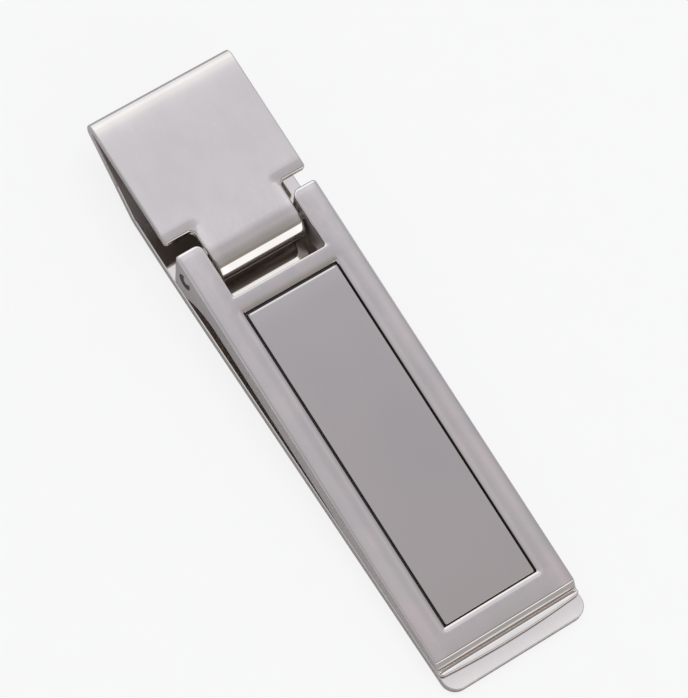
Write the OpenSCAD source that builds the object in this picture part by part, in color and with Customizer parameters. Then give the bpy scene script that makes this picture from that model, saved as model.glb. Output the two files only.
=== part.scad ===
// Hinged money clip: a folded spring strip carries a lever on a cross pin.
// Outlines are drawn in the X-Z plane, with x counted from the fold's outer face and z from the table,
// and every node is then shifted so that the origin lies under the middle of the clip.

/* [Overall] */
// Length over everything
length = 63.5; // [60:0.5:70]
// Width of the strip and the lever
width = 15.8; // [14:0.1:18]
// Height of the fold above the table
height = 6.5; // [6.3:0.1:6.7]

/* [Spring strip] */
// Thickness of the sheet
sheet_t = 0.9; // [0.8:0.05:0.95]
// Outer radius of the fold
fold_r = 1.0; // [0.95:0.05:1.1]
// Downward slope of the front arm, in degrees
arm_slope = 4.2; // [3.9:0.1:4.6]
// Downward slope of the leg behind the fold, in degrees
leg_slope = 26.5; // [25:0.5:28]
// Slope that is left after the knee, where the bow to the flat starts, in degrees
bow_slope = 4; // [3:0.5:5]
// Radius of the knee at the sheet's middle
knee_r = 1.6; // [1.2:0.1:2.5]
// Radius of the shallow bow between the knee and the flat
bow_r = 180; // [150:10:200]
// Corner radius at the open end
end_corner_r = 1.5; // [0.5:0.1:3]
// Where the front arm narrows to its tongue
shoulder_x = 13.9; // [13:0.1:14]
// Width of the tongue
tongue_w = 9.7; // [9:0.05:10]
// Fillet between the shoulder and the tongue
notch_r = 0.6; // [0.3:0.1:0.8]
// Room that the front arm needs at the fold to spring open, in degrees
flex_room = 7; // [6.5:0.5:9]

/* [Hinge] */
// Distance of the pin from the fold
pin_x = 17.5; // [17.4:0.1:17.8]
// Radius of the pin
pin_r = 0.6; // [0.5:0.05:0.65]
// Radial running clearance between the pin and the curled tongue
pin_clearance = 0.03; // [0.02:0.01:0.06]
// How far each pin end sits below the ear's side
pin_recess = 0.08; // [0:0.02:0.2]
// Slit between the curl's end and the sheet above it
curl_slit = 0.12; // [0.05:0.01:0.2]

/* [Lever] */
// Front of the two ears
ear_x = 15.45; // [15.3:0.05:15.6]
// Height of the ears at their front
ear_z = 5.88; // [5.78:0.02:5.98]
// Downward slope of the lever's face, in degrees
face_slope = 4.58; // [4.4:0.02:4.7]
// Distance between the two ears
ear_gap = 10.35; // [10.25:0.05:10.6]
// How far the ears' front edges lean back, in degrees
ear_lean = 7; // [5:0.5:9]
// Height of the ears' cam edge above the back plate's flat
cam_gap = 0.14; // [0.12:0.02:0.2]
// Back end of the cam edge
cam_end_x = 18.3; // [18.2:0.1:18.6]
// Where the underside starts behind the ears
under_x = 23; // [22.5:0.1:23.5]
// Height of the underside there
under_z = 2.75; // [2.6:0.05:2.9]
// Where the underside becomes parallel to the back plate
contact_x = 46.5; // [44:0.5:48]
// Gap that is left over the back plate from there on
contact_gap = 0.08; // [0.05:0.01:0.1]
// Front of the cross bar between the ears
bar_x = 21.55; // [21.4:0.05:22]
// End of the lever's face
face_end_x = 60.6; // [60.2:0.05:60.8]
// Reach of the lip past the face, at its middle
lip_reach = 1.4; // [1.2:0.05:1.5]
// How much less the lip reaches at its corners
lip_bulge = 0.3; // [0:0.05:0.5]
// Radius of the finger cove above the lip
cove_r = 0.6; // [0.4:0.05:0.6]

/* [Inlay] */
// Start of the inlay plate
inlay_x = 23.45; // [23.3:0.05:23.7]
// Length of the inlay plate
inlay_l = 34.5; // [30:0.5:34.5]
// Width of the inlay plate
inlay_w = 10.2; // [8:0.1:10.4]
// Thickness of the inlay plate
inlay_t = 0.5; // [0.4:0.05:0.55]
// Gap around the inlay plate
inlay_gap = 0.14; // [0.1:0.01:0.2]
// Thickness of the adhesive film
film_t = 0.1; // [0.05:0.05:0.15]

/* [Hidden] */
$fn = 64;
arc_step = 6;           // most degrees that one facet of an outline's arc turns
over = 1;               // how far a cutting shape runs past what it cuts
half_w = width / 2;
mid_t = sheet_t / 2;

// Fold, measured at the middle of the sheet
fold_c = [fold_r, height - fold_r];
fold_mid_r = fold_r - mid_t;
knee_turn = leg_slope - bow_slope;
fold_to_leg = 90 - leg_slope;
leg_start = fold_c + fold_mid_r * [-cos(fold_to_leg), -sin(fold_to_leg)];
// The leg is as long as it takes to bring the sheet down onto the table
leg_drop = leg_start[1] - mid_t - knee_r * (cos(bow_slope) - cos(leg_slope)) - bow_r * (1 - cos(bow_slope));
leg_l = leg_drop / sin(leg_slope);
flat_x = leg_start[0] + leg_l * cos(leg_slope) + knee_r * (sin(leg_slope) - sin(bow_slope)) + bow_r * sin(bow_slope);

// Hinge: the curl's outside is tangent to the front arm's upper face
bore_r = pin_r + pin_clearance;
curl_r = bore_r + sheet_t;
pin_z = fold_c[1] + (fold_r - curl_r) / cos(arm_slope) - (pin_x - fold_c[0]) * tan(arm_slope);
pin_p = [pin_x, pin_z];
arm_l = (pin_x - fold_c[0]) / cos(arm_slope) + (fold_r - curl_r) * tan(arm_slope);

// Lever
contact_z = sheet_t + contact_gap;
cam_r = pin_z - sheet_t - cam_gap;
ear_front_reach = (pin_p - [ear_x, ear_z]) * heading(ear_lean);
lip_x = face_end_x + lip_reach;
lip_edge_r = 0.2;
face_edge_r = 0.25;
ear_outer_r = 0.3;
ear_inner_r = 0.8;
bar_fillet_r = 0.3;
slot_half = ear_gap / 2;
inlay_corner_r = 0.15;
countersink = 0.12;

function heading(a) = [cos(a), sin(a)];
function left_of(a) = [-sin(a), cos(a)];
function facets(turn) = max(2, ceil(abs(turn) / arc_step));
function reversed(list) = [for (i = [len(list) - 1:-1:0]) list[i]];
function arc(c, r, from, to) = [for (i = [0:facets(to - from)])
    c + r * heading(from + (to - from) * i / facets(to - from))];

// One bend of the sheet's middle line, as [point, heading] pairs; a positive turn is to the left
function bend(p, a, turn, r, n) = [for (i = [1:n])
    let (b = a + turn * i / n) [p + sign(turn) * r * (left_of(a) - left_of(b)), b]];

// The whole middle line: every step is [straight length, turn, bend radius]
function middle_line(steps, p, a, i = 0) =
    i == len(steps) ? [] :
    let (
        q = p + steps[i][0] * heading(a),
        straight = steps[i][0] == 0 ? [] : [[q, a]],
        curve = steps[i][1] == 0 ? [] : bend(q, a, steps[i][1], steps[i][2], facets(steps[i][1])),
        last = concat([[q, a]], curve)[len(curve)]
    )
    concat(straight, curve, middle_line(steps, last[0], last[1], i + 1));

// The sheet's outline, from its middle line
function sheet_outline(line) = concat(
    [for (s = line) s[0] + mid_t * left_of(s[1])],
    reversed([for (s = line) s[0] - mid_t * left_of(s[1])]));

function sheet_from(p, a, steps) = sheet_outline(concat([[p, a]], middle_line(steps, p, a)));

function face_z(x) = ear_z - (x - ear_x) * tan(face_slope);

// Extrudes an outline of the X-Z plane across the clip
module across(w) {
    translate([-length / 2, w / 2, 0]) rotate([90, 0, 0]) linear_extrude(w) children();
}

// Extrudes an outline of the X-Y plane through the clip's height
module upright() {
    translate([-length / 2, 0, -over]) linear_extrude(height + 2 * over) children();
}

// A round bar across the clip on the hinge's axis
module on_hinge(r, w) {
    translate([pin_x - length / 2, w / 2, pin_z]) rotate([90, 0, 0]) cylinder(r = r, h = w);
}

// A block let into the lever's face: from and to are distances along x, deep and high are measured from the face
module in_face(from, to, w, deep, high, corner_r) {
    l = (to - from) / cos(face_slope);
    translate([from - length / 2, 0, face_z(from)]) rotate([0, face_slope, 0])
        translate([0, 0, -deep]) linear_extrude(deep + high)
            rounded_bar(l, w / 2, corner_r);
}

module rounded_bar(l, half, r) {
    polygon(concat(
        arc([r, r - half], r, 180, 270), arc([l - r, r - half], r, 270, 360),
        arc([l - r, half - r], r, 0, 90), arc([r, half - r], r, 90, 180)));
}

module back_side_outline() {
    start = 180 + flex_room / 2;
    polygon(sheet_from(
        fold_c + fold_mid_r * heading(start), start + 90,
        [[0, fold_to_leg - flex_room / 2, fold_mid_r],
         [leg_l, knee_turn, knee_r],
         [0, bow_slope, bow_r],
         [length - flat_x, 0, 0]]));
}

module back_plan_outline() {
    r = end_corner_r;
    polygon(concat(
        [[-over, half_w], [-over, -half_w]],
        arc([length - r, r - half_w], r, 270, 360),
        arc([length - r, half_w - r], r, 0, 90)));
}

module spring_back_plate() {
    color([0.8, 0.79, 0.8]) intersection() {
        across(width + 2 * over) back_side_outline();
        upright() back_plan_outline();
    }
}

module arm_side_outline() {
    start = 180 - flex_room / 2;
    polygon(sheet_from(
        fold_c + fold_mid_r * heading(start), start - 90,
        [[0, -(90 - flex_room / 2 + arm_slope), fold_mid_r], [arm_l, 0, 0]]));
}

module arm_plan_outline() {
    r = notch_r;
    tongue = tongue_w / 2;
    reach = pin_x + curl_r + over;
    polygon(concat(
        [[-over, half_w], [-over, -half_w], [shoulder_x, -half_w]],
        arc([shoulder_x + r, -tongue - r], r, 180, 90),
        [[reach, -tongue], [reach, tongue]],
        arc([shoulder_x + r, tongue + r], r, 270, 180),
        [[shoulder_x, half_w]]));
}

// The slit where the curled end stops short of the sheet it came from
module curl_slit_cut() {
    l = curl_r + over;
    translate([pin_x - length / 2, 0, pin_z]) rotate([0, arm_slope, 0])
        translate([-l, -half_w, bore_r - curl_slit]) cube([l, width, curl_slit]);
}

module spring_front_arm() {
    color([0.8, 0.79, 0.8]) intersection() {
        difference() {
            union() {
                across(width + 2 * over) arm_side_outline();
                difference() {
                    on_hinge(curl_r, tongue_w);
                    curl_slit_cut();
                }
            }
            on_hinge(bore_r, width);
        }
        upright() arm_plan_outline();
    }
}

// Side view of the lever: face, rounded edge, finger cove, lip, underside, concave throat, cam edge
module lever_side_outline() {
    edge_x = face_end_x - face_edge_r;
    edge_z = face_z(edge_x) - face_edge_r;
    cove_z = edge_z - cove_r;
    cam_end = pin_p + cam_r * heading(270 + asin((cam_end_x - pin_x) / cam_r));
    throat = [under_x - cam_end_x, under_z - cam_end[1]];
    throat_r = (throat * throat) / (2 * throat[1]);
    polygon(concat(
        [[ear_x, ear_z]],
        arc([edge_x, edge_z], face_edge_r, 90 - face_slope, 0),
        arc([face_end_x + cove_r, edge_z], cove_r, 180, 270),
        arc([lip_x - lip_edge_r, cove_z - lip_edge_r], lip_edge_r, 90, 0),
        [[lip_x, contact_z], [contact_x, contact_z]],
        arc([under_x, under_z - throat_r], throat_r, 90, 180 - acos(throat[0] / throat_r)),
        arc(pin_p, cam_r, 270 + asin((cam_end_x - pin_x) / cam_r), 180 + ear_lean + acos(ear_front_reach / cam_r))));
}

// Plan of the lever: two ears with rounded tips, the slot between them and the bulged lip
module lever_plan_outline() {
    o = ear_outer_r;
    i = ear_inner_r;
    f = bar_fillet_r;
    polygon(concat(
        arc([ear_x + o, half_w - o], o, 90, 180),
        arc([ear_x + i, slot_half + i], i, 180, 270),
        arc([bar_x - f, slot_half - f], f, 90, 0),
        arc([bar_x - f, f - slot_half], f, 0, -90),
        arc([ear_x + i, -slot_half - i], i, 90, 180),
        arc([ear_x + o, o - half_w], o, 180, 270),
        [for (s = [-1:0.125:1]) [lip_x - lip_bulge * s * s, s * half_w]]));
}

module lever_frame() {
    color([0.74, 0.72, 0.73]) difference() {
        intersection() {
            across(width + 2 * over) lever_side_outline();
            upright() lever_plan_outline();
        }
        in_face(inlay_x - inlay_gap, inlay_x + inlay_l + inlay_gap, inlay_w + 2 * inlay_gap,
            inlay_t + film_t, over, inlay_corner_r);
        on_hinge(pin_r, width + 2 * over);
        for (side = [-1, 1])
            translate([0, side * half_w, 0]) on_hinge(pin_r + countersink, 2 * pin_recess);
    }
}

module inlay_plate() {
    color([0.64, 0.62, 0.63]) in_face(inlay_x, inlay_x + inlay_l, inlay_w, inlay_t, 0, inlay_corner_r);
}

module inlay_adhesive() {
    color([0.85, 0.83, 0.75]) difference() {
        in_face(inlay_x, inlay_x + inlay_l, inlay_w, inlay_t + film_t, 0, inlay_corner_r);
        in_face(inlay_x - over, inlay_x + inlay_l + over, inlay_w + 2 * over, inlay_t, over, inlay_corner_r);
    }
}

module hinge_pin() {
    color([0.7, 0.69, 0.7]) on_hinge(pin_r, width - 2 * pin_recess);
}

spring_back_plate();
spring_front_arm();
lever_frame();
inlay_plate();
inlay_adhesive();
hinge_pin();
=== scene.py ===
"""Looks of a hinged money clip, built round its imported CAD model.

Sizes are in millimetres and angles in degrees, as in the part's source; meshes are made in metres. The
strip of sheet metal, the lever and the inlay are built as slabs: a flat outline with rounded edges is cut
into narrow bands, and then bent onto lines of the side view. In a slab, u counts along that line, y across
the clip, and depth inwards from the slab's top or from its underside.
"""

import math

import bmesh
import bpy
from mathutils import Matrix, Vector

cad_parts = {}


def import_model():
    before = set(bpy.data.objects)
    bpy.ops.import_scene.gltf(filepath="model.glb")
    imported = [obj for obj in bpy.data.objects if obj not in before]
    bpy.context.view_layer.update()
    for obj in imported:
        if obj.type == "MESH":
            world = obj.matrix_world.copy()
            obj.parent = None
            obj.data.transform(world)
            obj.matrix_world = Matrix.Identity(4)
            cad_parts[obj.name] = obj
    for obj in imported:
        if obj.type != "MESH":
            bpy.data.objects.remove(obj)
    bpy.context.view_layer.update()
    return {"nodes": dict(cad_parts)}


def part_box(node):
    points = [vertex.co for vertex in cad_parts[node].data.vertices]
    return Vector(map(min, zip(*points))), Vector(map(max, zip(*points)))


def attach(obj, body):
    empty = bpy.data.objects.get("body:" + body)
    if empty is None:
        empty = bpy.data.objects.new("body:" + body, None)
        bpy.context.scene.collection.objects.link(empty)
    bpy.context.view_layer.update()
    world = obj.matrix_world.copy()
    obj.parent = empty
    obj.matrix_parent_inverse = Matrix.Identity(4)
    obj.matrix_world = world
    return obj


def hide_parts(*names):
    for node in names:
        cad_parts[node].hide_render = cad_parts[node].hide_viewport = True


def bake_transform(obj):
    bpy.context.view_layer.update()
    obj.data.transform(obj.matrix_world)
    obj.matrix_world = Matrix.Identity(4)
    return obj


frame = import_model()

MM = 0.001
LAYER = 100.0  # while a slab is flat, its top lies at +LAYER and its underside at -LAYER

# ---------------------------------------------------------------- sizes

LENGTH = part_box("spring_back_plate")[1].x / MM * 2
HALF_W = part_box("spring_back_plate")[1].y / MM
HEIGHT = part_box("spring_front_arm")[1].z / MM

SHEET_T = 0.9
MID_T = SHEET_T / 2
FOLD_R = 1.0
FOLD_C = (FOLD_R, HEIGHT - FOLD_R)
ARM_SLOPE = 4.2
LEG_SLOPE = 26.5
BOW_SLOPE = 4.0
KNEE_R = 1.6
BOW_R = 180.0
END_CORNER_R = 1.5
SHOULDER_X = 13.9
SHOULDER_R = 0.3
TONGUE_HALF = 4.85
NOTCH_R = 0.6
SEAM = 5.6  # how far down the leg the front and back meshes of the strip meet
SHEET_EDGE = 0.16
CURL_EDGE = 0.3
CURL_EDGE_L = 0.8  # length over which the edge gets rounder before the curl
END_EDGE = 0.08
END_EDGE_L = (5.0, 1.0)  # the edge gets sharper between these distances from the open end
FOLD_CROWN = 0.035  # how far the arm's outer face rolls off towards the fold
FOLD_CROWN_REACH = 0.75
END_LIFT = 0.006  # the open end of the back plate curves up by this much, times the square of the way in mm
END_LIFT_L = 3.0  # and the way counts from this far before the end

PIN_X = 17.5
PIN_R = 0.6
BORE_R = 0.63
LEAD_IN = 1.4  # the arm's straight part ends this far short of the hinge, and the bends below follow
# The tongue's end as (turn, radius of the sheet's middle): two soft bends, a brow, a slope, an edge, the curl
CURL = ((-0.8, 50.0), (-7.0, 9.9), (-26.0, 0.5), (-6.0, 5.9), (-46.0, 0.5), (-195.0, 1.2))
TONGUE_CROWN = 0.045  # how far the arm rolls off towards the notches and the tongue's sides
TONGUE_REACH = 0.5
PIN_RECESS = 0.08
COUNTERSINK_R = 0.92
COUNTERSINK_DEPTH = 0.24

EAR_X = 15.45
EAR_Z = 5.88
EAR_LEAN = 7.0
CAM_GAP = 0.14
FACE_SLOPE = 4.58
SLOT_HALF = 5.175
CAM_END_X = 18.3
UNDER = (23.0, 2.75)
CONTACT_X = 46.5
CONTACT_Z = SHEET_T + 0.08
BAR_X = 21.55
BAR_EDGE = 0.12
LIP_EDGE = 0.12
FACE_END_X = 60.6
FACE_EDGE_R = 0.25
LIP_X = 62.0
LIP_BULGE = 0.3
LIP_CORNER_R = 0.5
EAR_OUTER_R = 0.35
EAR_INNER_R = 0.8
BAR_FILLET_R = 0.3
SIDE_EDGE = 0.27
SLOT_EDGE = 0.13
CROWN = 0.095  # how far the face rolls off towards its sides
CROWN_REACH = 0.9
RIM_CROWN = 0.08  # towards the inlay's pocket
RIM_REACH = 0.4
SLOT_CROWN = 0.02  # and towards the slot and the ears' tips
SLOT_REACH = 0.22
BAR_SHARPNESS = 0.4  # at the bar the face rolls off in this part of the reach
GROOVE_SLOPE = 57.0
LIP_RISE = 40.0
LIP_TILT = 2.0
GROOVE_WALL = 0.97
GROOVE_R = 0.1
LIP_WALL = 0.1
LIP_R = 0.2
UNDER_EDGE = 0.14
EAR_UNDER_EDGE = 0.26  # added to it on the ears
EAR_BLEND = 3.0  # length over which the ears' shape turns into the rails'
TAIL = 4.0  # over this length the underside is stretched to end below the lip

INLAY_X = 23.45
INLAY_L = 34.5
INLAY_HALF = 5.1
INLAY_T = 0.5
INLAY_GAP = 0.14
FILM_T = 0.1
INLAY_EDGE = 0.06
INLAY_FRONT_EDGE = 0.3  # the inlay's edge towards the hinge is rounder
INLAY_INSET = 0.09
INLAY_CORNER_R = 0.15
RIM_EDGE = 0.05
PAINTED_SHADE_FADE = (-25.0, -19.0)  # x from the clip's middle: the painted shade on the back plate's inside fades out between these


def rad(degrees):
    return math.radians(degrees)


def smooth(t):
    t = max(0.0, min(1.0, t))
    return t * t * (3 - 2 * t)


# ---------------------------------------------------------------- lines of the side view


class SideLine:
    """A line in the side view, made of straights and bends. A positive turn is to the left."""

    def __init__(self, x, z, heading):
        self.start = (x, z, rad(heading))
        self.parts = []
        self.length = 0.0

    def straight(self, length):
        return self._add(length, 0.0)

    def bend(self, turn, radius):
        return self._add(abs(rad(turn)) * radius, rad(turn))

    def _add(self, length, turn):
        x, z, heading = self.at(self.length)[:2] + (self.heading(self.length),)
        self.parts.append((self.length, length, turn, x, z, heading))
        self.length += length
        return self

    def heading(self, s):
        if not self.parts:
            return self.start[2]
        first, length, turn, _, _, heading = self._part(s)
        return heading + turn * (s - first) / length if turn else heading

    def _part(self, s):
        found = self.parts[0]
        for part in self.parts:
            if part[0] <= s:
                found = part
        return found

    def at(self, s):
        """(x, z) at distance s; before the start and past the end the line runs straight on."""
        if not self.parts:
            return self.start[:2]
        first, length, turn, x, z, heading = self._part(s)
        d = s - first
        if not turn:
            return (x + d * math.cos(heading), z + d * math.sin(heading))
        radius = length / turn
        end = heading + turn * d / length
        return (
            x + radius * (math.sin(end) - math.sin(heading)),
            z - radius * (math.cos(end) - math.cos(heading)),
        )

    def off(self, s, left):
        """The point that lies left of the line by that much, at distance s."""
        x, z = self.at(s)
        heading = self.heading(s)
        return (x - left * math.sin(heading), z + left * math.cos(heading))

    def cuts(self, step):
        """Distances at which the bends are cut, so that no facet turns by more than step degrees."""
        found = []
        for first, length, turn, *_ in self.parts:
            if turn:
                n = max(2, math.ceil(abs(turn) / rad(step)))
                found += [first + length * i / n for i in range(n + 1)]
        return found


# ---------------------------------------------------------------- flat outlines


def arc(cx, cy, r, start, end, step=10.0):
    n = max(2, math.ceil(abs(end - start) / step))
    angles = [rad(start + (end - start) * i / n) for i in range(n + 1)]
    return [(cx + r * math.cos(a), cy + r * math.sin(a)) for a in angles]


def mirrored(half):
    """The whole outline, anticlockwise, from its half with y below 0."""
    return half + [(u, -y) for u, y in reversed(half)]


def inset(outline, amounts):
    """The outline moved inwards by a different amount at each point."""
    ring = []
    n = len(outline)
    for i in range(n):
        before = Vector(outline[i - 1])
        here = Vector(outline[i])
        after = Vector(outline[(i + 1) % n])
        a = (here - before).normalized()
        b = (after - here).normalized()
        left = Vector((-a.y - b.y, a.x + b.x))
        left /= 1 + max(-0.5, a.dot(b))
        ring.append(here + left * amounts[i])
    return ring


# ---------------------------------------------------------------- mesh building


def rounded_side(bm, outline, edge, layer, steps=5):
    """Rings of a rounded edge from the wall to the face, and the face; returns the wall's ring."""
    sign = 1 if layer > 0 else -1
    sizes = [edge(u, y) for u, y in outline]
    rings = []
    for j in range(steps + 1):
        turn = rad(90 * j / steps)
        points = inset(outline, [e * (1 - math.cos(turn)) for e in sizes])
        rings.append(
            [
                bm.verts.new((p.x, p.y, layer - sign * e * (1 - math.sin(turn))))
                for p, e in zip(points, sizes)
            ]
        )
    for low, high in zip(rings, rings[1:]):
        stitch(bm, low, high, sign)
    bm.faces.new(rings[-1] if sign > 0 else rings[-1][::-1])
    return rings[0]


def stitch(bm, low, high, sign=1):
    n = len(low)
    for i in range(n):
        k = (i + 1) % n
        loop = [low[i], low[k], high[k], high[i]]
        bm.faces.new(loop if sign > 0 else loop[::-1])


def cut_across(bm, axis, places, upper_only=False):
    """Cuts the flat slab along lines of constant u (axis 0) or constant y (axis 1)."""
    normal = Vector((1, 0, 0)) if axis == 0 else Vector((0, 1, 0))
    for place in sorted(set(round(p, 4) for p in places)):
        faces = [f for f in bm.faces if not upper_only or all(v.co.z > 0 for v in f.verts)]
        edges = set(e for f in faces for e in f.edges)
        verts = set(v for f in faces for v in f.verts)
        bmesh.ops.bisect_plane(
            bm,
            geom=list(verts) + list(edges) + faces,
            dist=1e-4,
            plane_co=normal * place,
            plane_no=normal,
        )


def sink_pocket(bm, pocket):
    """Replaces the faces inside the pocket by its floor and walls, and chamfers its rim."""
    u0, u1, half, deep, rim = pocket
    inside = {}  # used as a set that keeps its order, so that each run builds the same mesh
    for face in bm.faces:
        c = face.calc_center_median()
        if face.normal.z > 0.9 and u0 < c.x < u1 and abs(c.y) < half and c.z > 0:
            inside[face] = True
    floor = {v: bm.verts.new(v.co - Vector((0, 0, deep))) for f in inside for v in f.verts}
    walls = []
    for face in inside:
        for loop in face.loops:
            if any(other not in inside for other in loop.edge.link_faces):
                walls.append((loop.vert, loop.link_loop_next.vert))
    for a, b in walls:
        bm.faces.new((a, b, floor[b], floor[a]))
    for face in inside:
        bm.faces.new([floor[v] for v in face.verts])
    bmesh.ops.delete(bm, geom=list(inside), context="FACES")
    for a, _ in walls:
        a.co.z -= rim


def square_off(bm):
    """Cuts the flat slab square at u = 0 and closes it there, where the next mesh of the sheet goes on."""
    cut = bmesh.ops.bisect_plane(
        bm,
        geom=list(bm.verts) + list(bm.edges) + list(bm.faces),
        dist=1e-5,
        plane_co=(0, 0, 0),
        plane_no=(1, 0, 0),
        clear_inner=True,
    )
    rim = [g for g in cut["geom_cut"] if isinstance(g, bmesh.types.BMEdge)]
    bmesh.ops.contextual_create(bm, geom=rim)


def slab(
    name, outline, edge_top, edge_bottom, top, bottom, u_cuts, y_cuts=(), pocket=None, square=False
):
    """A slab whose flat faces are bent: top and bottom turn (u, y, depth) into a point in mm."""
    bm = bmesh.new()
    upper = rounded_side(bm, outline, edge_top, LAYER)
    lower = rounded_side(bm, outline, edge_bottom, -LAYER)
    stitch(bm, lower, upper)
    if pocket:
        u0, u1, half, _, rim = pocket
        u_cuts = list(u_cuts) + [u0 - rim, u0, u1, u1 + rim]
        y_cuts = list(y_cuts) + [-half - rim, -half, half, half + rim]
    cut_across(bm, 0, u_cuts)
    cut_across(bm, 1, y_cuts, upper_only=True)
    bm.normal_update()
    if pocket:
        sink_pocket(bm, pocket)
    if square:
        square_off(bm)
    for vert in bm.verts:
        u, y, z = vert.co
        point = top(u, y, LAYER - z) if z > 0 else bottom(u, y, LAYER + z)
        vert.co = Vector(point) * MM
    bmesh.ops.recalc_face_normals(bm, faces=bm.faces)
    return as_object(name, bm)


def turned(name, profile, segments=48):
    """A body turned about the hinge's axis: the profile is (radius, y) from one end to the other."""
    bm = bmesh.new()
    rings = []
    for radius, y in profile:
        ring = []
        for i in range(segments):
            a = 2 * math.pi * i / segments
            x, z = PIN[0] + radius * math.cos(a), PIN[1] + radius * math.sin(a)
            ring.append(bm.verts.new(Vector(place(x, y, z)) * MM))
        rings.append(ring)
    for low, high in zip(rings, rings[1:]):
        stitch(bm, low, high)
    bm.faces.new(rings[0])
    bm.faces.new(rings[-1][::-1])
    bmesh.ops.recalc_face_normals(bm, faces=bm.faces)
    return as_object(name, bm)


def as_object(name, bm):
    mesh = bpy.data.meshes.new(name)
    bm.to_mesh(mesh)
    bm.free()
    piece = bpy.data.objects.new(name, mesh)
    bpy.context.scene.collection.objects.link(piece)
    return piece


def apply_modifiers(piece):
    graph = bpy.context.evaluated_depsgraph_get()
    mesh = bpy.data.meshes.new_from_object(piece.evaluated_get(graph))
    piece.modifiers.clear()
    piece.data = mesh


def carve(piece, cutter):
    """Cuts one closed mesh out of another for good."""
    modifier = piece.modifiers.new("carve", "BOOLEAN")
    modifier.operation = "DIFFERENCE"
    modifier.solver = "EXACT"
    modifier.object = cutter
    apply_modifiers(piece)
    bpy.data.objects.remove(cutter)


def soften(piece, angle=32.0):
    """Smooth shading that keeps edges sharper than the angle crisp, and the flat sides flat."""
    bm = bmesh.new()
    bm.from_mesh(piece.data)
    for face in bm.faces:
        face.smooth = True
    for edge in bm.edges:
        sides = [abs(face.normal.y) > 0.9995 for face in edge.link_faces]
        edge.smooth = edge.calc_face_angle(4.0) < rad(angle) and all(sides) == any(sides)
    bm.to_mesh(piece.data)
    bm.free()
    # in metres the faces' areas are too small for the modifier, so it works on the mesh in millimetres
    piece.data.transform(Matrix.Scale(1 / MM, 4))
    modifier = piece.modifiers.new("normals", "WEIGHTED_NORMAL")
    modifier.keep_sharp = True
    apply_modifiers(piece)
    piece.data.transform(Matrix.Scale(MM, 4))


def place(x, y, z):
    """x counts from the fold's outer face in the sizes above, and from the clip's middle in the frame."""
    return (x - LENGTH / 2, y, z)


# ---------------------------------------------------------------- the spring strip


def leg_start():
    r = FOLD_R - MID_T
    return (FOLD_C[0] - r * math.sin(rad(LEG_SLOPE)), FOLD_C[1] - r * math.cos(rad(LEG_SLOPE)))


def leg_length():
    """The leg is as long as it takes to bring the sheet down onto the table."""
    knee = KNEE_R * (math.cos(rad(BOW_SLOPE)) - math.cos(rad(LEG_SLOPE)))
    bow = BOW_R * (1 - math.cos(rad(BOW_SLOPE)))
    return (leg_start()[1] - MID_T - knee - bow) / math.sin(rad(LEG_SLOPE))


def seam_point():
    x, z = leg_start()
    return (x + SEAM * math.cos(rad(LEG_SLOPE)), z - SEAM * math.sin(rad(LEG_SLOPE)))


def arm_length():
    run = (PIN_X - FOLD_C[0]) / math.cos(rad(ARM_SLOPE))
    return run + (FOLD_R - BORE_R - SHEET_T) * math.tan(rad(ARM_SLOPE))


def front_line():
    """Up the leg, round the fold, along the front arm and round the hinge pin."""
    line = SideLine(*seam_point(), 180 - LEG_SLOPE)
    line.straight(SEAM)
    line.bend(-(180 - LEG_SLOPE + ARM_SLOPE), FOLD_R - MID_T)
    line.straight(arm_length() - LEAD_IN)
    for turn, radius in CURL:
        line.bend(turn, radius)
    return line


def back_line():
    """Down the leg, round the knee, and along the bow and the flat to the open end."""
    line = SideLine(*seam_point(), -LEG_SLOPE)
    line.straight(leg_length() - SEAM)
    line.bend(LEG_SLOPE - BOW_SLOPE, KNEE_R)
    line.bend(BOW_SLOPE, BOW_R)
    return line.straight(LENGTH - line.at(line.length)[0])


def hinge_point():
    z = FOLD_C[1] + (FOLD_R - BORE_R - SHEET_T) / math.cos(rad(ARM_SLOPE))
    return (PIN_X, z - (PIN_X - FOLD_C[0]) * math.tan(rad(ARM_SLOPE)))


PIN = hinge_point()
CAM_R = PIN[1] - SHEET_T - CAM_GAP


def bent_sheet(name, line, outline, edge, u_cuts, crown, y_cuts=()):
    """The sheet's outer face lies lower than its flat form by the crown."""

    def top(u, y, depth):
        x, z = line.off(u, MID_T - depth - crown(u, y))
        return place(x, y, z)

    def bottom(u, y, depth):
        x, z = line.off(u, depth - MID_T)
        return place(x, y, z)

    return slab(name, outline, edge, edge, top, bottom, u_cuts, y_cuts, square=True)


def arm_cuts(line, arm_start, shoulder):
    """Where the front mesh is cut across: closely where it bends or its crown is steep."""
    cuts = line.cuts(4.0)
    cuts += [arm_start + 1.5 * i for i in range(11)]
    cuts += [arm_start + 0.35 * i for i in range(1, 12)]
    cuts += [shoulder - d for d in (0.1, 0.25, 0.45, 0.7, 1.0, 1.4, 1.9)]
    cuts += [shoulder + 0.25 * i for i in range(1, 8)]
    return cuts


def arm_outline(line, shoulder, curl_start):
    """The arm narrows to the tongue in two rounded notches."""
    half = [(-1.0, -HALF_W)]
    half += arc(shoulder - SHOULDER_R, SHOULDER_R - HALF_W, SHOULDER_R, 270, 360)
    half += arc(shoulder + NOTCH_R, -TONGUE_HALF - NOTCH_R, NOTCH_R, 180, 90)
    for i in range(5):
        half.append((curl_start - CURL_EDGE_L + 0.2 * i, -TONGUE_HALF))
    half.append((line.length, -TONGUE_HALF))
    return mirrored(half)


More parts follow.
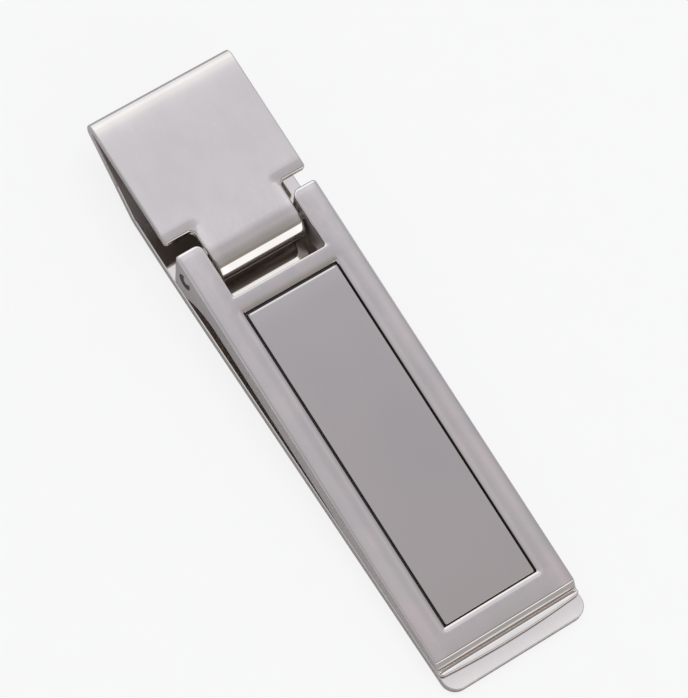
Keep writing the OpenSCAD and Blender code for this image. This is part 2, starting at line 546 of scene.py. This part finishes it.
def strip_front():
    line = front_line()
    arm_start = line.parts[2][0]
    shoulder = arm_start + (SHOULDER_X - line.parts[2][3]) / math.cos(rad(ARM_SLOPE))
    curl_start = line.parts[5][0]
    outline = arm_outline(line, shoulder, curl_start)
    cuts = arm_cuts(line, arm_start, shoulder)
    beside = (-0.7, -0.4, -0.2, 0.2, 0.4, 0.65, 1.0, 1.5)
    y_cuts = [side * (TONGUE_HALF - d) for side in (-1, 1) for d in beside]

    def edge(u, y):
        nearer = (u - curl_start + CURL_EDGE_L) / CURL_EDGE_L
        return SHEET_EDGE + (CURL_EDGE - SHEET_EDGE) * smooth(nearer)

    def crown(u, y):
        at_fold = FOLD_CROWN * math.exp(-max(0.0, u - arm_start) / FOLD_CROWN_REACH)
        to_notch = math.hypot(max(shoulder - u, 0), max(TONGUE_HALF - abs(y), 0))
        return at_fold + TONGUE_CROWN * math.exp(-to_notch / TONGUE_REACH)

    return bent_sheet("strip_front", line, outline, edge, cuts, crown, y_cuts)


def strip_back():
    line = back_line()
    r = END_CORNER_R
    half = [(-1.0, -HALF_W)]
    half += arc(line.length - r, r - HALF_W, r, 270, 360)
    bow, bow_length = line.parts[2][:2]
    cuts = line.cuts(2.5)[:-1]
    cuts += [line.length * i / 14 for i in range(14)]
    cuts = [c for c in cuts if not bow <= c <= bow + bow_length]
    cuts += [bow + bow_length * i / 12 for i in range(13)]
    cuts += [line.length - 0.25 * i for i in range(1, 21)]

    def edge(u, y):
        far, near = END_EDGE_L
        return SHEET_EDGE + (END_EDGE - SHEET_EDGE) * smooth((u - line.length + far) / (far - near))

    def crown(u, y):
        return -END_LIFT * max(0.0, u - line.length + END_LIFT_L) ** 2

    return bent_sheet("strip_back", line, mirrored(half), edge, cuts, crown)


# ---------------------------------------------------------------- the lever


def face_z(x):
    return EAR_Z - (x - EAR_X) * math.tan(rad(FACE_SLOPE))


def ear_foot_x():
    """Where the ears' leaning front edge meets their cam edge."""
    lean = rad(EAR_LEAN)
    reach = (PIN_X - EAR_X) * math.cos(lean) - (EAR_Z - PIN[1]) * math.sin(lean)
    turn = math.pi + lean + math.acos(reach / CAM_R)
    return PIN_X + CAM_R * math.cos(turn)


def face_line():
    """From the ears' front along the face, over its end, down into the groove and up onto the lip."""
    line = SideLine(EAR_X, EAR_Z, -FACE_SLOPE)
    edge_x = FACE_END_X - FACE_EDGE_R
    line.straight((edge_x - EAR_X) / math.cos(rad(FACE_SLOPE)))
    line.bend(FACE_SLOPE - GROOVE_SLOPE, FACE_EDGE_R)
    line.straight(GROOVE_WALL)
    line.bend(GROOVE_SLOPE + LIP_RISE, GROOVE_R)
    line.straight(LIP_WALL)
    line.bend(LIP_TILT - LIP_RISE, LIP_R)
    return line.straight(LIP_X - line.at(line.length)[0])


def under_z(x):
    """Height of the lever's underside: cam edge, concave throat, long slope, and flat over the back plate."""
    cam_end = PIN[1] - math.sqrt(CAM_R**2 - (CAM_END_X - PIN_X) ** 2)
    if x < CAM_END_X:
        return PIN[1] - math.sqrt(CAM_R**2 - (x - PIN_X) ** 2)
    if x < UNDER[0]:
        run, rise = UNDER[0] - CAM_END_X, UNDER[1] - cam_end
        r = (run * run + rise * rise) / (2 * rise)
        return UNDER[1] - r + math.sqrt(r * r - (UNDER[0] - x) ** 2)
    if x < CONTACT_X:
        return UNDER[1] - (x - UNDER[0]) / (CONTACT_X - UNDER[0]) * (UNDER[1] - CONTACT_Z)
    return CONTACT_Z


def lever_outline(line):
    """Two ears with rounded tips, the slot between them, and the bulged lip."""
    end = line.length
    slot_end = (BAR_X - EAR_X) / math.cos(rad(FACE_SLOPE))
    o, i, f, c = EAR_OUTER_R, EAR_INNER_R, BAR_FILLET_R, LIP_CORNER_R
    half = arc(slot_end - f, f - SLOT_HALF, f, 0, -90)
    half += arc(i, -SLOT_HALF - i, i, 90, 180)
    half += arc(o, o - HALF_W, o, 180, 270)
    half += arc(end - LIP_BULGE - c, c - HALF_W, c, 270, 350)
    for k in range(1, 8):
        s = 1 - k / 8
        half.append((end - LIP_BULGE * s * s, -s * (HALF_W - c)))
    return mirrored(half)


def lever_edge_top(u, y):
    """Rounding of the face's edges: wide outside, narrow in the slot, and narrow on the lip."""
    in_slot = abs(y) < SLOT_HALF + EAR_INNER_R and u < BAR_X - EAR_X + 0.5
    if in_slot:
        side = SLOT_EDGE + (SIDE_EDGE - SLOT_EDGE) * smooth((abs(y) - SLOT_HALF) / EAR_INNER_R)
        at_bar = smooth((u - (BAR_X - EAR_X) + BAR_FILLET_R) / BAR_FILLET_R)
        return side + (BAR_EDGE - side) * at_bar
    on_lip = smooth((u - FACE_END_X + EAR_X) / 1.0)
    return SIDE_EDGE + (LIP_EDGE - SIDE_EDGE) * on_lip


def lever_edge_bottom(u, y):
    front = 1 - smooth(u / EAR_BLEND)
    return UNDER_EDGE + EAR_UNDER_EDGE * front * smooth((abs(y) - SLOT_HALF) / EAR_INNER_R)


def lever_cuts(line, first, last):
    """Where the lever is cut along u and along y; the inlay's pocket runs from first to last."""
    u_cuts = line.cuts(9.0)
    u_cuts += [0.15 * i for i in range(1, 6)]
    u_cuts += [0.3 * i for i in range(3, 28)]
    u_cuts += [8.4 + 1.5 * i for i in range(1, 24)]
    u_cuts += [first - 0.05 - 0.18 * i * i for i in range(1, 4)]
    u_cuts += [last + 0.05 + 0.12 * i * i for i in range(1, 4)]
    u_cuts += [last + 0.2 * i for i in range(1, 14)]
    from_side = (0.4, 0.6, 0.85, 1.15, 1.5, 1.85, 2.2, 2.45)
    from_pocket = (0.12, 0.3, 0.55)
    y_cuts = [side * (HALF_W - d) for side in (-1, 1) for d in from_side]
    y_cuts += [side * (INLAY_HALF + INLAY_GAP + d) for side in (-1, 1) for d in from_pocket]
    y_cuts += range(-4, 5)
    return u_cuts, y_cuts


def lever_frame():
    line = face_line()
    slot_end = (BAR_X - EAR_X) / math.cos(rad(FACE_SLOPE))
    first = (INLAY_X - INLAY_GAP - EAR_X) / math.cos(rad(FACE_SLOPE))
    last = first + INLAY_L + 2 * INLAY_GAP
    tail = line.length - TAIL
    tail_x = line.at(tail)[0]

    def bottom_x(u):
        if u > tail:
            return tail_x + (u - tail) / (line.length - tail) * (LIP_X - tail_x)
        lean = (ear_foot_x() - EAR_X) * (1 - smooth(u / EAR_BLEND))
        return line.at(u)[0] + lean

    def top(u, y, depth):
        slot = math.hypot(max(abs(y) - SLOT_HALF, 0), max(u - slot_end, 0) / BAR_SHARPNESS)
        rim = math.hypot(max(first - u, 0, u - last), max(abs(y) - INLAY_HALF - INLAY_GAP, 0))
        crown = CROWN * math.exp((abs(y) - HALF_W) / CROWN_REACH)
        crown += SLOT_CROWN * (math.exp(-slot / SLOT_REACH) + math.exp(-u / SLOT_REACH))
        if depth < INLAY_T:
            crown += RIM_CROWN * math.exp(-rim / RIM_REACH)
        x, z = line.off(u, -depth - crown)
        return place(x, y, z)

    def bottom(u, y, depth):
        x = bottom_x(u)
        return place(x, y, under_z(x) + depth)

    outline = lever_outline(line)
    pocket = (first, last, INLAY_HALF + INLAY_GAP, INLAY_T + FILM_T, RIM_EDGE)
    cuts = lever_cuts(line, first, last)
    piece = slab("lever", outline, lever_edge_top, lever_edge_bottom, top, bottom, *cuts, pocket)
    carve(piece, pin_hole())
    return piece


def pin_hole():
    """The bore of both ears with its countersinks, as one turned cutter."""
    outer = HALF_W + 0.2
    inner = HALF_W - COUNTERSINK_DEPTH
    mouth = COUNTERSINK_R + 0.2
    return turned(
        "pin_hole",
        [(mouth, -outer), (PIN_R + 0.01, -inner), (PIN_R + 0.01, inner), (mouth, outer)],
    )


def inlay_plate():
    line = face_line()
    start = (INLAY_X - EAR_X) / math.cos(rad(FACE_SLOPE)) + INLAY_INSET
    end = start + INLAY_L / math.cos(rad(FACE_SLOPE)) - 2 * INLAY_INSET
    r = INLAY_CORNER_R
    side = r + INLAY_INSET - INLAY_HALF
    half = arc(start + r, side, r, 180, 270, 15)
    half += arc(end - r, side, r, 270, 360, 30)
    cuts = [start + 2.0 + 3.0 * i for i in range(11)]

    def top(u, y, depth):
        x, z = line.off(u, -depth)
        return place(x, y, z)

    def bottom(u, y, depth):
        x, z = line.off(u, depth - INLAY_T)
        return place(x, y, z)

    def edge_top(u, y):
        return INLAY_EDGE + (INLAY_FRONT_EDGE - INLAY_EDGE) * (1 - smooth((u - start) / r))

    def edge_bottom(u, y):
        return INLAY_EDGE

    return slab("inlay", mirrored(half), edge_top, edge_bottom, top, bottom, cuts)


def hinge_pin():
    """The pin's ends are domed, with a small centre dimple."""
    end = HALF_W - PIN_RECESS
    tip = [(0.06, end - 0.05), (0.14, end - 0.01), (0.22, end), (0.36, end - 0.03)]
    tip += [(0.48, end - 0.1), (0.56, end - 0.2), (PIN_R, end - 0.34)]
    profile = [(r, -y) for r, y in tip]
    profile += [(r, y) for r, y in reversed(tip)]
    return turned("pin", profile)


# ---------------------------------------------------------------- materials


class Nodes:
    """Short names for building a material's node tree."""

    def __init__(self, name):
        self.material = bpy.data.materials.new(name)
        self.material.use_nodes = True
        self.tree = self.material.node_tree
        self.shader = self.tree.nodes["Principled BSDF"]

    def add(self, kind, **settings):
        node = self.tree.nodes.new(kind)
        for key, value in settings.items():
            setattr(node, key, value)
        return node

    def link(self, out, into):
        self.tree.links.new(out, into)

    def coordinates(self, scale, turn=(0, 0, 0)):
        """Object coordinates in mm, stretched by the scale."""
        source = self.add("ShaderNodeTexCoord")
        mapping = self.add("ShaderNodeMapping")
        mapping.inputs["Scale"].default_value = [s / MM for s in scale]
        mapping.inputs["Rotation"].default_value = [rad(a) for a in turn]
        self.link(source.outputs["Object"], mapping.inputs["Vector"])
        return mapping.outputs["Vector"]

    def noise(self, scale, detail=3.0, turn=(0, 0, 0)):
        node = self.add("ShaderNodeTexNoise")
        node.inputs["Scale"].default_value = 1.0
        node.inputs["Detail"].default_value = detail
        self.link(self.coordinates(scale, turn), node.inputs["Vector"])
        return node.outputs["Fac"]

    def ranged(self, value, low, high, to_low, to_high):
        node = self.add("ShaderNodeMapRange", interpolation_type="SMOOTHSTEP")
        for key, number in zip(
            ("From Min", "From Max", "To Min", "To Max"), (low, high, to_low, to_high)
        ):
            node.inputs[key].default_value = number
        self.link(value, node.inputs["Value"])
        return node.outputs["Result"]

    def combine(self, operation, a, b):
        node = self.add("ShaderNodeMath", operation=operation)
        for socket, value in zip(node.inputs, (a, b)):
            if isinstance(value, float):
                socket.default_value = value
            else:
                self.link(value, socket)
        return node.outputs["Value"]

    def bump(self, height, distance_mm):
        node = self.add("ShaderNodeBump")
        node.inputs["Strength"].default_value = 1.0
        node.inputs["Distance"].default_value = distance_mm * MM
        self.link(height, node.inputs["Height"])
        self.link(node.outputs["Normal"], self.shader.inputs["Normal"])

    def mixed(self, value, dark, light):
        """A colour between two; each is a triple or another node's output."""
        node = self.add("ShaderNodeMix", data_type="RGBA")
        for socket, colour in ((node.inputs[6], dark), (node.inputs[7], light)):
            if isinstance(colour, (tuple, list)):
                socket.default_value = (*colour, 1)
            else:
                self.link(colour, socket)
        self.link(value, node.inputs["Factor"])
        return node.outputs[2]

    def tint(self, value, dark, light):
        self.link(self.mixed(value, dark, light), self.shader.inputs["Base Color"])

    def along_clip(self):
        """Distance along the clip in mm, from its middle."""
        split = self.add("ShaderNodeSeparateXYZ")
        self.link(self.coordinates((1, 1, 1)), split.inputs["Vector"])
        return split.outputs["X"]


def hairlines(nodes, turn, stretch):
    """Thin, sparse scratches along one direction: 1 in a scratch and 0 beside it."""
    grain = nodes.noise((stretch, 9.0, 9.0), 1.0, turn)
    return nodes.ranged(grain, 0.735, 0.75, 0.0, 1.0)


def polished_nickel(name, dark, light, roughness):
    nodes = Nodes(name)
    shader = nodes.shader
    shader.inputs["Metallic"].default_value = 1.0
    haze = nodes.noise((0.25, 0.35, 0.35), 4.0)
    nodes.tint(nodes.ranged(haze, 0.35, 0.65, 0.0, 1.0), dark, light)
    scratches = nodes.combine(
        "ADD", hairlines(nodes, (0, 0, 24), 0.35), hairlines(nodes, (0, 0, -38), 0.5)
    )
    smear = nodes.noise((1.2, 2.4, 2.4), 5.0, (0, 0, 15))
    rough = nodes.ranged(smear, 0.3, 0.75, roughness * 0.7, roughness * 1.5)
    extra = nodes.combine("MULTIPLY", scratches, 0.08)
    nodes.link(nodes.combine("ADD", rough, extra), shader.inputs["Roughness"])
    waves = nodes.noise((0.16, 0.2, 0.2), 1.0)
    relief = nodes.combine("SUBTRACT", waves, nodes.combine("MULTIPLY", scratches, 0.03))
    nodes.bump(relief, 0.012)
    return nodes.material


def satin_steel(name, dark, light):
    """Nearly polished: a very fine straight grain along the clip blurs what it mirrors."""
    nodes = Nodes(name)
    shader = nodes.shader
    shader.inputs["Metallic"].default_value = 1.0
    grain = nodes.noise((0.2, 22.0, 22.0), 2.0)
    haze = nodes.noise((0.06, 0.1, 0.1), 1.0)
    nodes.tint(nodes.ranged(haze, 0.3, 0.7, 0.0, 1.0), dark, light)
    rough = nodes.ranged(grain, 0.3, 0.7, 0.1, 0.14)
    nodes.link(rough, shader.inputs["Roughness"])
    nodes.bump(grain, 0.0003)
    return nodes.material


def gap_shade_painted(name):
    """Painted shade: a dark, matt colour in the gap round the inlay and in the countersinks of the pin, where
    shade falls.
    """
    nodes = Nodes(name)
    nodes.shader.inputs["Specular IOR Level"].default_value = 0.1
    patches = nodes.noise((0.5, 0.8, 0.8), 3.0)
    nodes.tint(nodes.ranged(patches, 0.3, 0.7, 0.0, 1.0), (0.08, 0.064, 0.06), (0.12, 0.1, 0.094))
    nodes.link(nodes.ranged(patches, 0.3, 0.7, 0.5, 0.7), nodes.shader.inputs["Roughness"])
    nodes.bump(patches, 0.003)
    return nodes.material


def shaded_inner_nickel(name, fades=False):
    """Painted shade on the inside: a darker, browner colour that is rougher and less metallic; on the back
    plate the painted shade fades out along the clip.
    """
    nodes = Nodes(name)
    shader = nodes.shader
    shader.inputs["Metallic"].default_value = 0.4
    clouds = nodes.noise((0.3, 0.4, 0.4), 2.0)
    patches = nodes.ranged(clouds, 0.3, 0.7, 0.0, 1.0)
    tint = nodes.mixed(patches, (0.36, 0.305, 0.28), (0.40, 0.345, 0.32))
    rough = nodes.ranged(clouds, 0.3, 0.7, 0.31, 0.37)
    if fades:
        along = nodes.along_clip()
        bright = nodes.ranged(along, *PAINTED_SHADE_FADE, 0.0, 1.0)
        dull = nodes.ranged(along, *PAINTED_SHADE_FADE, 1.0, 0.0)
        tint = nodes.mixed(bright, tint, (0.70, 0.655, 0.60))
        rough = nodes.combine("MAXIMUM", nodes.combine("MULTIPLY", rough, dull), 0.05)
        nodes.link(nodes.ranged(along, *PAINTED_SHADE_FADE, 0.4, 1.0), shader.inputs["Metallic"])
    nodes.link(tint, shader.inputs["Base Color"])
    nodes.link(rough, shader.inputs["Roughness"])
    return nodes.material


def matt_film(name, dark, light):
    nodes = Nodes(name)
    nodes.shader.inputs["Roughness"].default_value = 0.6
    flecks = nodes.noise((3.0, 3.0, 3.0), 4.0)
    nodes.tint(flecks, dark, light)
    nodes.bump(flecks, 0.01)
    return nodes.material


def floor_material(name, colour, glow):
    nodes = Nodes(name)
    nodes.shader.inputs["Roughness"].default_value = 0.9
    nodes.shader.inputs["Specular IOR Level"].default_value = 0.0
    nodes.tint(nodes.noise((0.3, 0.3, 0.3), 2.0), colour, [c + 0.01 for c in colour])
    nodes.shader.inputs["Emission Color"].default_value = (1, 1, 1, 1)
    nodes.shader.inputs["Emission Strength"].default_value = glow
    return nodes.material


# ---------------------------------------------------------------- stage, light and camera

# Brightness of the studio by direction: ceiling and walls by how far a direction points along the clip, and
# a factor on both by how far it points across it
CEILING = (
    (-0.45, (1.28, 1.33, 1.45)),
    (-0.265, (1.27, 1.31, 1.40)),
    (-0.252, (1.38, 1.34, 1.20)),
    (-0.240, (1.38, 1.34, 1.20)),
    (-0.229, (1.22, 1.26, 1.35)),
    (-0.22, (1.13, 1.17, 1.26)),
    (-0.175, (0.89, 0.91, 1.03)),
    (-0.158, (0.86, 0.87, 0.99)),
    (-0.14, (0.81, 0.815, 0.93)),
    (-0.118, (0.88, 0.885, 1.0)),
    (-0.103, (0.64, 0.635, 0.72)),
    (-0.05, (0.58, 0.575, 0.65)),
    (-0.01, (0.60, 0.59, 0.66)),
    (0.06, (0.44, 0.43, 0.45)),
    (0.15, (0.39, 0.37, 0.37)),
    (0.40, (0.36, 0.34, 0.33)),
)
WALLS = ((-0.45, (1.12, 1.17, 1.29)), (0.0, (1.08, 1.13, 1.22)), (0.45, (1.36, 1.40, 1.5)))
ACROSS = (
    (-0.9, 0.62),
    (-0.5, 0.74),
    (0.03, 0.86),
    (0.12, 1.06),
    (0.24, 1.11),
    (0.28, 1.0),
    (0.32, 1.0),
    (0.38, 1.15),
    (0.45, 0.98),
    (0.56, 0.78),
    (0.9, 0.6),
)
WALL_TOP = (0.54, 0.62)

CAMERA_FORWARD = Vector((0.2200, -0.3023))  # the view direction's slant from the vertical
CAMERA_DISTANCE = 387.65
CAMERA_TARGET = Vector((-1.296, 1.811, 2.5))
CAMERA_ROLL = 59.375
CAMERA_LENS = 212.7
SENSOR = 36.0


def floor():
    """A white sweep for the picture, and just under it the greyer table that the metal mirrors."""
    sweep = ground("sweep", 0.02, floor_material("sweep", (0.12, 0.12, 0.117), 0.82))
    sweep.visible_glossy = False
    sweep.visible_diffuse = False
    table = ground("table", 0.04, floor_material("table", (0.70, 0.68, 0.69), 0.0))
    table.visible_camera = False


def ground(name, depth, material):
    bm = bmesh.new()
    bmesh.ops.create_grid(bm, x_segments=2, y_segments=2, size=1500 * MM)
    piece = as_object(name, bm)
    piece.location.z = -depth * MM
    piece.data.materials.append(material)
    return piece


def camera():
    data = bpy.data.cameras.new("camera")
    data.lens = CAMERA_LENS
    data.sensor_width = SENSOR
    data.sensor_fit = "AUTO"
    data.clip_start = 0.01
    data.clip_end = 10.0
    cam = bpy.data.objects.new("camera", data)
    bpy.context.scene.collection.objects.link(cam)
    slant = CAMERA_FORWARD
    back = Vector((slant.x, slant.y, math.sqrt(1 - slant.length_squared)))
    roll = rad(CAMERA_ROLL)
    right = Vector((math.cos(roll), math.sin(roll), 0))
    right = (right - back * right.dot(back)).normalized()
    up = back.cross(right)
    cam.location = (CAMERA_TARGET + back * CAMERA_DISTANCE) * MM
    cam.rotation_mode = "QUATERNION"
    turn = Matrix([[right[i], up[i], back[i]] for i in range(3)])
    cam.rotation_quaternion = turn.to_quaternion()
    bpy.context.scene.camera = cam


def range_node(tree, value, low, high, kind):
    node = tree.nodes.new("ShaderNodeMapRange")
    node.interpolation_type = kind
    node.inputs["From Min"].default_value = low
    node.inputs["From Max"].default_value = high
    tree.links.new(value, node.inputs["Value"])
    return node.outputs["Result"]


def ramp_node(tree, value, stops, low, high):
    """Colour by value, through stops that lie between low and high."""
    node = tree.nodes.new("ShaderNodeValToRGB")
    tree.links.new(range_node(tree, value, low, high, "LINEAR"), node.inputs["Fac"])
    elements = node.color_ramp.elements
    while len(elements) < len(stops):
        elements.new(0.5)
    for element, (stop, _) in zip(elements, stops):
        element.position = (stop - low) / (high - low)
    for element, (_, colour) in zip(elements, stops):
        element.color = (*colour, 1)
    return node.outputs["Color"]


def mix_node(tree, kind, factor, a, b):
    """Mixes two colours; the factor is a number or another node's output."""
    node = tree.nodes.new("ShaderNodeMix")
    node.data_type = "RGBA"
    node.blend_type = kind
    if isinstance(factor, float):
        node.inputs["Factor"].default_value = factor
    else:
        tree.links.new(factor, node.inputs["Factor"])
    tree.links.new(a, node.inputs[6])
    tree.links.new(b, node.inputs[7])
    return node.outputs[2]


def world():
    """A white tent under a bluish ceiling, which is brighter behind the fold than over the lever."""
    studio = bpy.data.worlds.new("studio")
    bpy.context.scene.world = studio
    studio.use_nodes = True
    tree = studio.node_tree
    source = tree.nodes.new("ShaderNodeTexCoord")
    split = tree.nodes.new("ShaderNodeSeparateXYZ")
    tree.links.new(source.outputs["Generated"], split.inputs["Vector"])
    x, y, z = (split.outputs[axis] for axis in "XYZ")
    ceiling = ramp_node(tree, x, CEILING, -0.5, 0.5)
    walls = ramp_node(tree, x, WALLS, -0.5, 0.5)
    across = ramp_node(tree, y, [(stop, (f, f, f)) for stop, f in ACROSS], -1, 1)
    height = range_node(tree, z, *WALL_TOP, "SMOOTHSTEP")
    colour = mix_node(tree, "MIX", height, walls, ceiling)
    colour = mix_node(tree, "MULTIPLY", 1.0, colour, across)
    tree.links.new(colour, tree.nodes["Background"].inputs["Color"])


def lights():
    data = bpy.data.lights.new("soft_top", "AREA")
    data.shape = "DISK"
    data.size = 0.5
    data.energy = 1.0
    lamp = bpy.data.objects.new("soft_top", data)
    lamp.location = (0.02, 0.16, 0.6)
    lamp.rotation_mode = "QUATERNION"
    lamp.rotation_quaternion = Vector(lamp.location).to_track_quat("Z", "Y")
    lamp.visible_glossy = False
    bpy.context.scene.collection.objects.link(lamp)


# ---------------------------------------------------------------- assembly


def paint(piece, *materials):
    piece.data.materials.clear()
    for material in materials:
        piece.data.materials.append(material)


def mark(piece, second, chosen):
    """Gives the second material to the faces chosen by centre (in mm, x from the fold) and normal."""
    if second.name not in piece.data.materials:
        piece.data.materials.append(second)
    index = piece.data.materials.find(second.name)
    for face in piece.data.polygons:
        x, y, z = (c / MM for c in face.center)
        if chosen(x + LENGTH / 2, y, z, face.normal):
            face.material_index = index


def in_pocket(x, y, z, normal):
    below = face_z(x) - z
    inside = abs(y) < INLAY_HALF + INLAY_GAP + 0.03 and INLAY_X - 0.2 < x < INLAY_X + INLAY_L + 0.3
    return inside and 0.11 < below < INLAY_T + FILM_T + 0.3


def in_gap(x, y, z, normal):
    return abs(normal.z) < 0.3


def in_groove(x, y, z, normal):
    return abs(y) < HALF_W - 0.3 and FACE_END_X + 0.5 < x < FACE_END_X + 0.72 and z > CONTACT_Z + 0.1


def in_countersink(x, y, z, normal):
    from_axis = math.hypot(x - PIN_X, z - PIN[1])
    return abs(y) > HALF_W - COUNTERSINK_DEPTH - 0.1 and from_axis < COUNTERSINK_R and abs(normal.y) < 0.9


def in_slot(x, y, z, normal):
    """The ears' facing sides, the bar's front and the whole underside."""
    side = abs(y) < SLOT_HALF + 0.05 and x < BAR_X + 0.05 and face_z(x) - z > 0.4
    return side or (normal.z < -0.3 and z < face_z(x) - 1.0)


def under_arm(x, y, z, normal):
    """The arm's underside, and the part of the curl that faces the bar or down."""
    return abs(y) < HALF_W - 0.02 and normal.z < (0.2 if x > PIN_X else -0.2) and x > FOLD_R


def over_leg(x, y, z, normal):
    """The leg's upper side, on the mesh that also holds the arm."""
    return abs(y) < HALF_W - 0.02 and normal.z > 0.2 and z < HEIGHT - SHEET_T - 0.3 and x < SHOULDER_X - 5


def over_back(x, y, z, normal):
    """The back plate's upper side below the arm, to just past where its painted shade has faded out."""
    return abs(y) < HALF_W - SHEET_EDGE - 0.02 and normal.z > 0.2 and x < SHOULDER_X + 1


def shade_inside_and_film(front, back, lever, inlay):
    # Painted shade: the inlay's pocket, its gap and the pin's countersinks get a dark colour where shade
    # falls.
    dark_shade = gap_shade_painted("gap_shade_painted")
    mark(lever, dark_shade, in_pocket)
    mark(inlay, dark_shade, in_gap)
    # Painted shade: the slot, the lever's underside, the groove at its end, the arm's underside and the leg's
    # upper side get a darker, browner colour. On the back plate below the arm, this painted shade fades out.
    inner = shaded_inner_nickel("shaded_inner_nickel")
    mark(lever, inner, in_slot)
    mark(lever, dark_shade, in_countersink)
    mark(lever, inner, in_groove)
    mark(front, inner, under_arm)
    mark(front, inner, over_leg)
    mark(back, shaded_inner_nickel("fading_shade_nickel", fades=True), over_back)
    film = frame["nodes"]["inlay_adhesive"]
    paint(film, matt_film("film", (0.10, 0.09, 0.085), (0.14, 0.125, 0.115)))


def join_bodies(front, back, lever, inlay, pin):
    """The back plate goes on the back's body, and the lever, the inlay and the pin on the lever's; the front
    mesh's placement is baked into its vertices.
    """
    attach(back, "back")
    for piece in (lever, inlay, pin):
        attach(piece, "lever")
    centre = Vector(place(FOLD_C[0], 0, FOLD_C[1]))
    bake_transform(front)


def clip():
    nickel = polished_nickel("strip_nickel", (0.69, 0.645, 0.59), (0.71, 0.665, 0.61), 0.05)
    lever_nickel = polished_nickel("lever_nickel", (0.67, 0.64, 0.59), (0.73, 0.67, 0.62), 0.06)
    steel = satin_steel("inlay_satin", (0.565, 0.54, 0.50), (0.605, 0.56, 0.515))
    pin_steel = polished_nickel("pin_steel", (0.66, 0.64, 0.64), (0.72, 0.70, 0.70), 0.16)
    front = strip_front()
    back = strip_back()
    lever = lever_frame()
    inlay = inlay_plate()
    pin = hinge_pin()
    for piece, material, slot, node in (
        (front, nickel, "spring_strip", "spring_front_arm"),
        (back, nickel, "spring_strip", "spring_back_plate"),
        (lever, lever_nickel, "lever", "lever_frame"),
        (inlay, steel, "inlay", "inlay_plate"),
        (pin, pin_steel, "pin", "hinge_pin"),
    ):
        soften(piece)
        paint(piece, material)
        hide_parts(node)
    shade_inside_and_film(front, back, lever, inlay)
    join_bodies(front, back, lever, inlay, pin)


def main():
    scene = bpy.context.scene
    scene.view_settings.view_transform = "Standard"
    scene.cycles.max_bounces = 16
    scene.cycles.glossy_bounces = 16
    clip()
    floor()
    camera()
    world()
    lights()


main()
